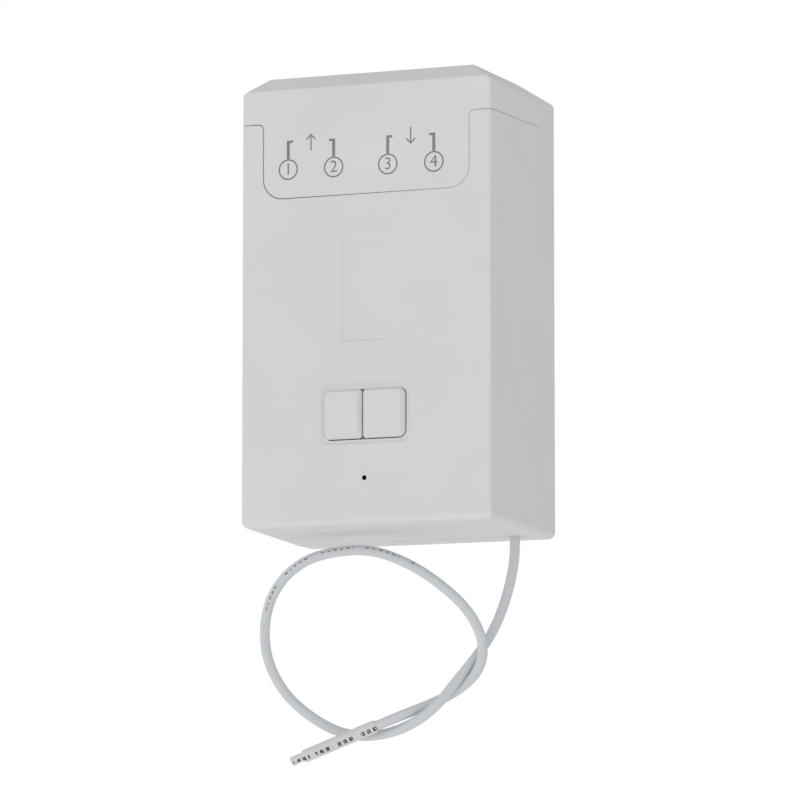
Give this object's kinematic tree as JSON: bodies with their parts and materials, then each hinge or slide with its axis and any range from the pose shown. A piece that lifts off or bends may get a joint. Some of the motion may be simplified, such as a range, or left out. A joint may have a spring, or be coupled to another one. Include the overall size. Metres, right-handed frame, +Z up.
{
  "type": "wall-mounted radio receiver",
  "caption": "Slim wall-mounted radio receiver case with a lift-off terminal cover, paired push buttons, a reset pinhole and a hanging aerial wire.",
  "frame": {"origin": "centre of the back face, in the plane of the wall, level with the middle of the front face", "axes": "+X to the right seen from the front, the front faces -Y, +Y into the wall, +Z up"},
  "size_m": [0.0688, 0.0439, 0.1705],
  "materials": {
    "case_plastic": "fine satin moulding texture, pale grey-white",
    "cover_plastic": "fine satin moulding texture, pale grey-white",
    "base_plastic": "fine satin moulding texture, pale grey-white",
    "button_plastic": "smooth satin, pale grey-white",
    "circuit_board": "green solder mask over glass-fibre laminate",
    "radio_board": "blue solder mask",
    "terminal_plastic": "green flame-retardant polyamide",
    "brass": "plain machined brass",
    "steel": "zinc-plated steel",
    "relay_plastic": "blue relay case",
    "black_plastic": "black moulding compound",
    "capacitor_plastic": "yellow film capacitor case",
    "capacitor_sleeve": "dark blue sleeve over an aluminium can",
    "disc_coating": "blue epoxy coating",
    "shield_metal": "tinned shield can",
    "lamp_glass": "clear lamp body",
    "clear_glass": "clear fuse glass",
    "plated_metal": "nickel-plated",
    "plunger_plastic": "black plunger",
    "wire_insulation": "off-white flexible insulation",
    "shrink_sleeve": "off-white shrink sleeve"
  },
  "bodies": {
    "case": {"front_housing": "case_plastic", "rear_base": "base_plastic", "power_board": "circuit_board", "control_board": "circuit_board", "left_terminal_block": "terminal_plastic", "right_terminal_block": "terminal_plastic", "terminal_clamps": "brass", "terminal_screws": "steel", "power_board_screws": "steel", "control_board_screws": "steel", "case_screws": "steel", "relay": "relay_plastic", "transformer": "black_plastic", "film_capacitor": "capacitor_plastic", "smoothing_capacitor": "capacitor_sleeve", "surge_disc": "disc_coating", "controller_chip": "black_plastic", "rf_module_board": "radio_board", "rf_shield_can": "shield_metal", "board_link_pins": "brass", "indicator_lamps": "lamp_glass", "fuse_glass": "clear_glass", "fuse_caps": "plated_metal", "fuse_clips": "plated_metal", "left_switch": "black_plastic", "right_switch": "black_plastic", "reset_switch": "black_plastic", "aerial_wire": "wire_insulation", "aerial_sleeve": "shrink_sleeve", "aerial_tip": "shrink_sleeve", "aerial_lead": "wire_insulation"},
    "terminal_cover": {"terminal_cover": "cover_plastic"},
    "left_button": {"left_button": "button_plastic", "left_plunger": "plunger_plastic"},
    "right_button": {"right_button": "button_plastic", "right_plunger": "plunger_plastic"},
    "reset_plunger": {"reset_plunger": "plunger_plastic"}
  },
  "joints": [
    {"name": "cover_lift", "type": "slide", "parent": "case", "child": "terminal_cover", "axis": [0, 0, 1], "range_m": [0, 0.06]},
    {"name": "left_press", "type": "slide", "parent": "case", "child": "left_button", "axis": [0, 1, 0], "range_m": [0, 0.0005], "stiffness_N_per_m": 2000, "springref_m": -0.0005},
    {"name": "right_press", "type": "slide", "parent": "case", "child": "right_button", "axis": [0, 1, 0], "range_m": [0, 0.0005], "stiffness_N_per_m": 2000, "springref_m": -0.0005},
    {"name": "reset_press", "type": "slide", "parent": "case", "child": "reset_plunger", "axis": [0, 1, 0], "range_m": [0, 0.00025], "stiffness_N_per_m": 3000, "springref_m": -0.0003}
  ]
}
